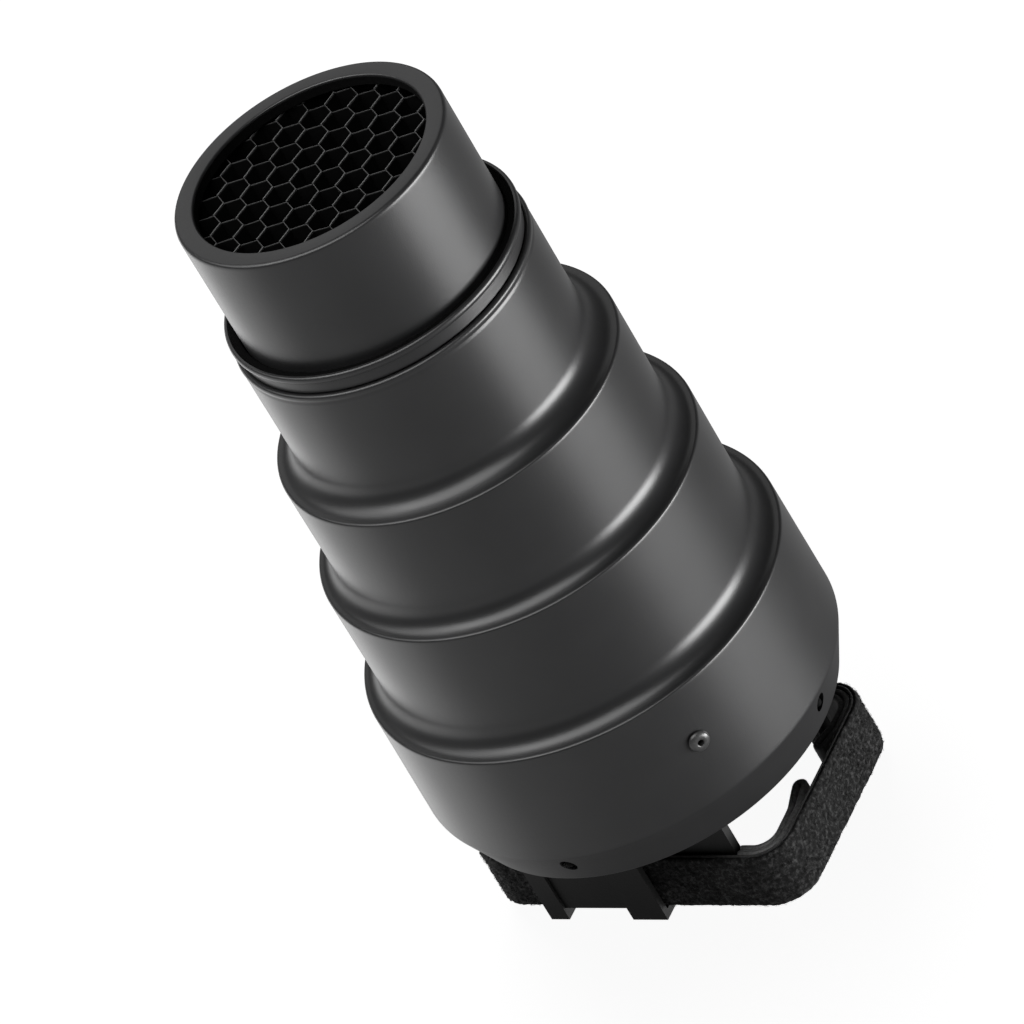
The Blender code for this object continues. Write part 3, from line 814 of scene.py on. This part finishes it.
def prism(name, outline, z_low, z_high):
    """An upright prism over an outline in plan."""
    bm = bmesh.new()
    base = bm.faces.new([bm.verts.new((x, y, z_low)) for x, y in outline])
    top = bmesh.ops.extrude_face_region(bm, geom=[base])
    bmesh.ops.translate(bm, vec=(0.0, 0.0, z_high - z_low),
                        verts=[g for g in top["geom"] if isinstance(g, bmesh.types.BMVert)])
    bmesh.ops.recalc_face_normals(bm, faces=bm.faces)
    return finished_mesh(name, bm)


def rectangle(x_low, x_high, y_low, y_high, corner, steps=5):
    points = [(x_low, y_low), (x_high, y_low), (x_high, y_high), (x_low, y_high)]
    return rounded(points, [corner] * 4, steps)


def on_mount(mesh, turn=0.0):
    """Moves a mesh drawn round the mount's middle to its place."""
    mesh.transform(Matrix.Translation((0.0, MOUNT_Y, 0.0)) @ Matrix.Rotation(turn, 4, 'Z'))
    return mesh


def pin_along_x(name, radius, half_length, y, z, chamfer=0.0):
    outline = [(0.0, half_length), (radius - chamfer, half_length),
               (radius, half_length - chamfer), (radius, chamfer - half_length),
               (radius - chamfer, -half_length), (0.0, -half_length)]
    mesh = turned_mesh(name, outline, 32)
    mesh.transform(Matrix.Translation((0.0, y, z)) @ Matrix.Rotation(math.pi / 2, 4, 'Y'))
    return mesh


def make_adapter():
    """The moulded ring: a plate with a window, a skirt in front, a pocket for each jaw."""
    low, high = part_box("adapter_ring")
    radius, front, rear = high.x, high.z, low.z
    points = [(0.0, PLATE_Z), (SKIRT_BORE, PLATE_Z), (SKIRT_BORE, front), (radius, front),
              (radius, rear), (0.0, rear)]
    ring = turned("adapter_fine", rounded(points, [0, 0.0008, 0.0005, 0.0005, 0.0006, 0]),
                  "plastic")
    cutters = [on_mount(prism("window", rectangle(-0.036, 0.036, -0.019, 0.019, 0.003),
                              rear - 0.002, PLATE_Z + 0.002))]
    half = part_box("jaw_near")[1].x + 0.0004
    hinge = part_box("hinge_pin_near")
    hinge_y = (hinge[0].y + hinge[1].y) / 2 - MOUNT_Y
    hinge_z = (hinge[0].z + hinge[1].z) / 2
    for _, turn in SIDES:
        pocket = prism("pocket", rectangle(-half, half, -0.0280, -0.0220, 0.0006),
                       rear - 0.002, 0.0410)
        cutters.append(on_mount(pocket, turn))
        cutters.append(on_mount(pin_along_x("bore", 0.0013, radius, hinge_y, hinge_z), turn))
    for i in PEGS:
        outline = [(0.0, 0.060), (0.0027, 0.060), (0.0027, 0.0457), (0.0020, 0.0457),
                   (0.0020, 0.0380), (0.0, 0.0380)]
        bore = turned_mesh("bore", outline, 32)
        cutters.append(aim_outward(bore, peg_angle(i), height_of(f"snap_peg_{i}")))
    cut_mesh(ring, cutters, "plastic")
    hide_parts("adapter_ring")
    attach(ring, "root")


def make_hinge_pins():
    for side, _ in SIDES:
        node = f"hinge_pin_{side}"
        low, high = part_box(node)
        mesh = pin_along_x(node, (high.z - low.z) / 2, high.x, (low.y + high.y) / 2,
                           (low.z + high.z) / 2, 0.0002)
        pin = add_piece(node + "_fine", mesh, "steel")
        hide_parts(node)
        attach(pin, "root")


def make_pegs():
    """Each snap peg with its guide and its spring."""
    for i in PEGS:
        angle, height = peg_angle(i), height_of(f"snap_peg_{i}")
        turns = [math.pi / 2 * k / 6 for k in range(7)]
        nose = [(PEG_RADIUS * math.sin(turn), PEG_TIP - PEG_NOSE * (1 - math.cos(turn)))
                for turn in turns]
        outline = nose + [(PEG_RADIUS, PEG_COLLAR_OUT), (0.0016, PEG_COLLAR_OUT),
                          (PEG_COLLAR, 0.0456), (PEG_COLLAR, 0.0443), (0.0016, PEG_COLLAR_IN),
                          (PEG_TAIL_RADIUS, PEG_COLLAR_IN), (PEG_TAIL_RADIUS, 0.0416),
                          (0.0008, PEG_TAIL), (0.0, PEG_TAIL)]
        mesh = aim_outward(turned_mesh("peg", outline, 32), angle, height)
        # The pegs take the near-black paint as painted shade, so that they vanish into the dark of
        # their holes.
        peg = add_piece(f"snap_peg_{i}_fine", mesh, "painted_shade_black")
        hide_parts(f"snap_peg_{i}")
        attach(peg, f"snap_peg_{i}")
        points = [(0.0014, 0.0476), (0.0024, 0.0476), (0.0024, 0.0460), (0.0014, 0.0460)]
        mesh = turned_mesh("guide", rounded(points, [0.0002] * 4, 3), 32)
        guide = add_piece(f"peg_guide_{i}_fine", aim_outward(mesh, angle, height), "plastic")
        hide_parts(f"peg_guide_{i}")
        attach(guide, "root")
        make_spring(i, angle, height)


def make_spring(number, angle, height):
    start, end, wire, coil, turns = 0.0385, 0.0437, 0.0002, 0.00145, 4.5
    points = []
    for k in range(145):
        share = k / 144
        closed = 0.5 - 0.5 * math.cos(math.pi * share)
        along = start + (end - start) * (0.6 * share + 0.4 * closed)
        turn = TAU * turns * share
        points.append(Vector((coil * math.cos(turn), coil * math.sin(turn), along)))
    mesh = aim_outward(tube_mesh("spring", points, wire, 8), angle, height)
    spring = add_piece(f"peg_spring_{number}_fine", mesh, "steel")
    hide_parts(f"peg_spring_{number}")
    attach(spring, "root")
    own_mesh(spring)


# ---------------------------------------------------------------- jaws, pads and strap
def make_pads():
    """Rubber pads with upright ribs on the gripping face."""
    for side, turn in SIDES:
        node = f"jaw_pad_{side}"
        low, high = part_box(node)
        half_x, z_low, z_high = high.x, low.z, high.z
        thickness = high.y - low.y
        face = STRAP_HALF_Y - 0.0058
        back = face + thickness
        columns, rows = 232, 24
        bm = bmesh.new()
        grid = []
        for i in range(columns + 1):
            x = -half_x + 2 * half_x * i / columns
            edge_x = min(1.0, (half_x - abs(x)) / 0.0006)
            line = []
            for j in range(rows + 1):
                z = z_low + (z_high - z_low) * j / rows
                edge_z = min(1.0, min(z - z_low, z_high - z) / 0.0006)
                crown = math.sqrt(max(0.0, 1 - (1 - min(edge_x, edge_z)) ** 2))
                rib = 0.5 + 0.5 * math.cos(TAU * x / 0.0018)
                depth = 0.0006 * (1 - crown) + 0.00035 * (1 - rib) * crown
                line.append(bm.verts.new((x, -(face + depth), z)))
            grid.append(line)
        for i in range(columns):
            for j in range(rows):
                bm.faces.new((grid[i][j], grid[i + 1][j], grid[i + 1][j + 1], grid[i][j + 1]))
        border = [edge for edge in bm.edges if edge.is_boundary]
        walls = bmesh.ops.extrude_edge_only(bm, edges=border)
        moved = [g for g in walls["geom"] if isinstance(g, bmesh.types.BMVert)]
        for vert in moved:
            vert.co.y = -back
        bmesh.ops.holes_fill(bm, edges=[e for e in bm.edges if e.is_boundary])
        bmesh.ops.recalc_face_normals(bm, faces=bm.faces)
        mesh = on_mount(finished_mesh(node, bm), turn)
        pad = add_piece(node + "_fine", mesh, "rubber", 50)
        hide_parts(node)
        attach(pad, f"jaw_{side}")


def finish_jaws():
    """The jaws stay as the CAD has them, with the small rounded edges of a moulding."""
    for side, _ in SIDES:
        jaw = frame["nodes"][f"jaw_{side}"]
        jaw.data.materials.clear()
        jaw.data.materials.append(MATERIALS["plastic"])
        jaw.data.shade_smooth()
        jaw.data.set_sharp_from_angle(angle=math.radians(35))
        bevel = jaw.modifiers.new("edges", 'BEVEL')
        bevel.width = 0.0003
        bevel.segments = 3
        bevel.limit_method = 'ANGLE'
        bevel.angle_limit = math.radians(40)
        bevel.harden_normals = True


def resample(points, step):
    """The same path with points a fixed step apart."""
    lengths = [0.0]
    for before, after in zip(points, points[1:]):
        lengths.append(lengths[-1] + (after - before).length)
    count = max(2, round(lengths[-1] / step))
    result = []
    k = 0
    for i in range(count + 1):
        target = lengths[-1] * i / count
        while k < len(points) - 2 and lengths[k + 1] < target:
            k += 1
        share = (target - lengths[k]) / max(lengths[k + 1] - lengths[k], 1e-9)
        result.append(points[k].lerp(points[k + 1], share))
    return result


def arc(centre, radius, start, end, steps=24):
    """Points on a circle, angles in degrees."""
    return [Vector((centre[0] + radius * math.cos(math.radians(start + (end - start) * i / steps)),
                    centre[1] + radius * math.sin(math.radians(start + (end - start) * i / steps))))
            for i in range(steps + 1)]


def half_loop(sign):
    """Half of the strap's centre line, from the middle of one side to the other."""
    corner_x = STRAP_HALF_X - STRAP_CORNER
    corner_y = STRAP_HALF_Y - STRAP_CORNER
    path = [Vector((-STRAP_HALF_X, 0.0))]
    path += arc((-corner_x, -corner_y), STRAP_CORNER, 180, 270)
    path += arc((corner_x, -corner_y), STRAP_CORNER, 270, 360)
    path.append(Vector((STRAP_HALF_X, 0.0)))
    return resample([Vector((sign * p.x, sign * p.y)) for p in path], STRAP_STEP)


def ribbon_mesh(path, inner, outer, z_low, z_high, fuzz, swell=None):
    """A band on edge along a path in plan. inner and outer are its two faces' distances from
    the path, fuzz the height of the uneven pile on its outer face, swell a thickness factor
    along it."""
    rows = max(4, round((z_high - z_low) / STRAP_STEP))
    section = []
    edge = (outer - inner) / 2
    middle = (outer + inner) / 2
    for k in range(rows + 1):
        section.append((outer, z_low + edge + (z_high - z_low - 2 * edge) * k / rows, 1.0))
    for k in range(1, 6):
        turn = math.pi * k / 6
        section.append((middle + edge * math.cos(turn), z_high - edge + edge * math.sin(turn), 0.6))
    for k in range(rows + 1):
        section.append((inner, z_high - edge - (z_high - z_low - 2 * edge) * k / rows, 0.3))
    for k in range(1, 6):
        turn = math.pi + math.pi * k / 6
        section.append((middle + edge * math.cos(turn), z_low + edge + edge * math.sin(turn), 0.6))
    bm = bmesh.new()
    rings = []
    last = len(path) - 1
    for i, point in enumerate(path):
        along = (path[min(i + 1, last)] - path[max(i - 1, 0)]).normalized()
        out = Vector((along.y, -along.x))
        scale = swell(i / last) if swell else 1.0
        ring = []
        for offset, z, weight in section:
            place = Vector((point.x + out.x * offset * scale, point.y + out.y * offset * scale, z))
            pile = noise.fractal(place * 900, 0.7, 2.0, 3) * fuzz * weight
            ring.append(bm.verts.new(place + Vector((out.x, out.y, 0.0)) * pile))
        rings.append(ring)
    count = len(section)
    for before, after in zip(rings, rings[1:]):
        for k in range(count):
            m = (k + 1) % count
            bm.faces.new((before[k], before[m], after[m], after[k]))
    bm.faces.new(rings[0])
    bm.faces.new(rings[-1])
    bmesh.ops.recalc_face_normals(bm, faces=bm.faces)
    return finished_mesh("ribbon", bm)


def pile_loops(path, offset, z_low, z_high, count, seed):
    """Small loose loops of yarn standing on the strap's outer face."""
    chance = random.Random(seed)
    bm = bmesh.new()
    last = len(path) - 1
    for _ in range(count):
        i = chance.randint(1, last - 1)
        along = (path[i + 1] - path[i - 1]).normalized()
        out = Vector((along.y, -along.x, 0.0))
        lean = Vector((along.x, along.y, 0.0)) * chance.uniform(-1, 1)
        lean.z = chance.uniform(-1, 1)
        lean.normalize()
        z = chance.uniform(z_low + 0.0006, z_high - 0.0006)
        root = Vector((path[i].x, path[i].y, z)) + out * offset
        clump = noise.noise(root * 520)
        height = chance.uniform(0.00022, 0.00050) * (1.0 + 0.6 * clump)
        width = chance.uniform(0.00020, 0.00045)
        wire = 0.000035
        across = lean.cross(out).normalized()
        rings = []
        for k in range(6):
            turn = math.pi * k / 5
            centre = root - out * 0.00008 + lean * width * math.cos(turn) \
                + out * height * math.sin(turn)
            radial = lean * math.cos(turn) + out * math.sin(turn)
            rings.append([bm.verts.new(centre + wire * radial),
                          bm.verts.new(centre + wire * (across * 0.87 - radial * 0.5)),
                          bm.verts.new(centre + wire * (-across * 0.87 - radial * 0.5))])
        for before, after in zip(rings, rings[1:]):
            for k in range(3):
                m = (k + 1) % 3
                bm.faces.new((before[k], before[m], after[m], after[k]))
        bm.faces.new(rings[0])
        bm.faces.new(rings[-1])
    bmesh.ops.recalc_face_normals(bm, faces=bm.faces)
    return finished_mesh("loops", bm)


def make_strap_half(side, nodes):
    """Half of the loop: woven backing, loop pile outside it and loose loops on the pile."""
    sign = 1 if side == "near" else -1
    path = half_loop(sign)
    low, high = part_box(f"strap_{side}")
    half = (high.y - low.y) / 2
    pieces = [
        ("back", ribbon_mesh(path, -half, -half + 0.0007, low.z, high.z + 0.0001, 0.00002),
         "webbing"),
        ("pile", ribbon_mesh(path, -half + 0.0005, half, low.z + 0.0002, high.z - 0.0001,
                             0.00035), "loop_pile"),
        ("loops", pile_loops(path, half, low.z, high.z, LOOPS_PER_HALF, 7 + sign), "loop_pile"),
    ]
    for suffix, mesh, finish in pieces:
        piece = add_piece(f"strap_{side}_{suffix}", on_mount(mesh), finish, 60)
        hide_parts(*nodes)
        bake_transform(piece)


def folded(path, half_gap, tip_gap):
    """The path of a strap end folded back on itself: out along a line in plan, round its tip
    and back. The two layers part towards the tip."""
    last = len(path) - 1
    out_layer, back_layer = [], []
    for i, point in enumerate(path):
        along = (path[min(i + 1, last)] - path[max(i - 1, 0)]).normalized()
        side = Vector((along.y, -along.x))
        share = max(0.0, i / last - 0.6) / 0.4
        gap = half_gap + (tip_gap - half_gap) * share * share * (3 - 2 * share)
        out_layer.append(point + side * gap)
        back_layer.append(point - side * gap)
    tip = [path[-1] + side * tip_gap * math.cos(math.pi * k / 8)
           + along * tip_gap * math.sin(math.pi * k / 8) for k in range(1, 8)]
    return out_layer + tip + back_layer[::-1]


def make_strap_end(side, sign, reach):
    """The folded inner end that starts beside a jaw and turns the corner."""
    node = "strap_tail" if side == "near" else "strap_fold"
    low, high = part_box(node)
    corner_x = STRAP_HALF_X - STRAP_CORNER
    corner_y = STRAP_HALF_Y - STRAP_CORNER
    radius = STRAP_CORNER - STRAP_THICK_HALF - END_THICK_HALF - END_CLEARANCE
    path = [Vector((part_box("jaw_near")[1].x + 0.0004, -corner_y - radius))]
    path += arc((corner_x, -corner_y), radius, -90, 0)
    path.append(Vector((corner_x + radius, -(corner_y + reach) / 2)))
    path.append(Vector((corner_x + radius - 0.0016, -reach)))
    path = resample([Vector((p.x, sign * p.y)) for p in path], STRAP_STEP)
    fold = folded(path, 0.00085, 0.0012)
    # The folded ends take the paler weave, a painted highlight on their tops.
    piece = add_piece(f"{node}_folded", on_mount(ribbon_mesh(
        fold, -0.0008, 0.0008, low.z, high.z, 0.00004)), "lit_folded_weave", 60)
    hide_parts(node)
    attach(piece, f"jaw_{side}")


def make_strap():
    make_strap_half("near", ("strap_near", "strap_side_right"))
    make_strap_half("far", ("strap_far", "strap_side_left"))
    make_strap_end("near", 1, 0.0045)
    make_strap_end("far", -1, 0.0090)


# ---------------------------------------------------------------- camera, floor and lights
def view_axes():
    azimuth = math.radians(CAMERA_AZIMUTH)
    elevation = math.radians(CAMERA_ELEVATION)
    back = Vector((math.sin(azimuth) * math.cos(elevation),
                   -math.cos(azimuth) * math.cos(elevation), math.sin(elevation)))
    right = Vector((math.cos(azimuth), math.sin(azimuth), 0.0))
    return back, right, back.cross(right)


def make_camera():
    back, right, up = view_axes()
    roll = math.radians(CAMERA_ROLL)
    rolled_up = up * math.cos(roll) + right * math.sin(roll)
    rolled_right = right * math.cos(roll) - up * math.sin(roll)
    camera = bpy.data.objects.new("camera", bpy.data.cameras.new("camera"))
    scene.collection.objects.link(camera)
    camera.data.lens = LENS
    camera.data.sensor_width = 36.0
    camera.data.clip_end = 20.0
    place = Matrix((rolled_right, rolled_up, back)).transposed().to_4x4()
    place.translation = CAMERA_AIM + back * CAMERA_DISTANCE
    camera.matrix_world = place
    scene.camera = camera


def softbox(name, bearing, height, distance, width, length, energy):
    """An area light; its bearing is measured from the camera's side towards its right."""
    back, right, _ = view_axes()
    front = Vector((back.x, back.y, 0.0)).normalized()
    turn = math.radians(bearing)
    target = Vector((0, 0, LIGHT_AIM_Z))
    flat = front * math.cos(turn) + right * math.sin(turn)
    rise = math.radians(height)
    place = target + (flat * math.cos(rise) + Vector((0, 0, 1)) * math.sin(rise)) * distance
    light = bpy.data.lights.new(name, 'AREA')
    light.shape = 'RECTANGLE'
    light.size = width
    light.size_y = length
    light.energy = energy
    obj = bpy.data.objects.new(name, light)
    scene.collection.objects.link(obj)
    obj.location = place
    obj.rotation_euler = (place - target).to_track_quat('Z', 'Y').to_euler()
    return obj


def make_floor():
    """A white floor under the snoot, which the snoot's own surfaces don't see."""
    bm = bmesh.new()
    bmesh.ops.create_grid(bm, x_segments=8, y_segments=8, size=6.0)
    mesh = finished_mesh("floor", bm)
    floor = bpy.data.objects.new("floor", mesh)
    scene.collection.objects.link(floor)
    floor.location.z = -0.0002
    m = Nodes("pale_floor")
    m.set(Roughness=0.9, Specular_IOR_Level=0.1)
    m.color(m.ramp(m.noise(2.0), [(0.3, grey(0.90)), (0.7, grey(0.92))]))
    m.set(Emission_Color=(1.0, 1.0, 1.0, 1.0), Emission_Strength=FLOOR_GLOW)
    mesh.materials.append(m.material)
    floor.visible_glossy = False
    floor.visible_diffuse = False
    floor.visible_shadow = False
    return floor


def make_table_shade():
    """The darker patch of table right under the snoot, as its own surfaces see it."""
    bm = bmesh.new()
    bmesh.ops.create_circle(bm, cap_ends=True, segments=64, radius=SHADE_RADIUS)
    mesh = finished_mesh("table_shade", bm)
    shade = bpy.data.objects.new("table_shade", mesh)
    scene.collection.objects.link(shade)
    shade.location.z = -0.0001
    m = Nodes("table_shade")
    m.set(Base_Color=(0.0, 0.0, 0.0, 1.0), Specular_IOR_Level=0.0, Roughness=1.0)
    length = new_node(m.tree, "VectorMath")
    length.operation = 'LENGTH'
    m.link(m.coords.outputs["Object"], length.inputs[0])
    fade = new_node(m.tree, "MapRange", From_Min=SHADE_CORE, From_Max=SHADE_RADIUS,
                    To_Min=SHADE_DEPTH, To_Max=0.0)
    fade.interpolation_type = 'SMOOTHSTEP'
    m.link(length.outputs["Value"], fade.inputs["Value"])
    m.link(fade.outputs["Result"], m.shader.inputs["Alpha"])
    mesh.materials.append(m.material)
    shade.visible_camera = False
    shade.visible_shadow = False


def make_world():
    """A studio: a white table all round below the horizon, brighter on the left, and a dim
    room above it with some light from the left and from behind."""
    back, right, _ = view_axes()
    front = Vector((back.x, back.y, 0.0)).normalized()
    world = bpy.data.worlds.new("studio")
    world.use_nodes = True
    tree = world.node_tree
    coords = new_node(tree, "TexCoord")

    def towards(direction, start, end, dark, bright):
        """A radiance that rises from dark to bright as the direction turns that way."""
        dot = new_node(tree, "VectorMath")
        dot.operation = 'DOT_PRODUCT'
        dot.inputs[1].default_value = direction
        tree.links.new(coords.outputs["Generated"], dot.inputs[0])
        ramp = new_node(tree, "MapRange", From_Min=start, From_Max=end, To_Min=dark,
                        To_Max=bright)
        ramp.interpolation_type = 'SMOOTHSTEP'
        tree.links.new(dot.outputs["Value"], ramp.inputs["Value"])
        return ramp.outputs["Result"]

    def combine(operation, first, second):
        node = new_node(tree, "Math")
        node.operation = operation
        tree.links.new(first, node.inputs[0])
        tree.links.new(second, node.inputs[1])
        return node.outputs["Value"]

    table = combine('ADD', towards(-right, 0.1, 0.9, TABLE_FRONT, TABLE_LEFT),
                    towards(right, 0.2, 0.9, 0.0, TABLE_RIGHT - TABLE_FRONT))
    behind = towards((-front - right).normalized(), 0.45, 0.85, 0.0, TABLE_BEHIND)
    table = combine('ADD', table, behind)
    room = combine('ADD', towards(-front, 0.4, 0.95, ROOM, ROOM_BEHIND),
                   towards(-right, 0.4, 1.0, 0.0, ROOM_LEFT))
    above = towards(Vector((0.0, 0.0, 1.0)), -0.12, 0.02, 0.0, 1.0)
    below = towards(Vector((0.0, 0.0, 1.0)), -0.12, 0.02, 1.0, 0.0)
    total = combine('ADD', combine('MULTIPLY', above, room), combine('MULTIPLY', below, table))
    tree.nodes["Background"].inputs["Color"].default_value = (1.0, 1.0, 1.0, 1.0)
    tree.links.new(total, tree.nodes["Background"].inputs["Strength"])
    scene.world = world


def make_lights(floor):
    """Softboxes. Only the back one reaches the floor, so it alone casts a shadow there."""
    softbox("back", 176, 38, 1.2, 0.8, 0.8, BACK_POWER)
    lamps = [softbox("key_right", 59, -14, 4.0, 3.2, 1.65, KEY_POWER),
             softbox("upper_left", -42, 64, 1.2, 1.3, 0.8, UPPER_POWER),
             softbox("left", -112, 52, 1.2, 0.9, 0.6, LEFT_POWER),
             softbox("rim_left", -150, -20, 1.0, 0.40, 1.0, RIM_POWER)]
    spared = bpy.data.collections.new("floor_spared")
    spared.objects.link(floor)
    spared.collection_objects[0].light_linking.link_state = 'EXCLUDE'
    for lamp in lamps:
        lamp.light_linking.receiver_collection = spared


make_camera()
make_shell()
make_rivets()
make_socket()
make_felt()
make_sleeve()
make_honeycomb()
make_core_ring()
make_stop_ring()
make_adapter()
make_hinge_pins()
make_pegs()
make_pads()
finish_jaws()
make_strap()
make_table_shade()
make_world()
make_lights(make_floor())
scene.view_settings.view_transform = 'Standard'
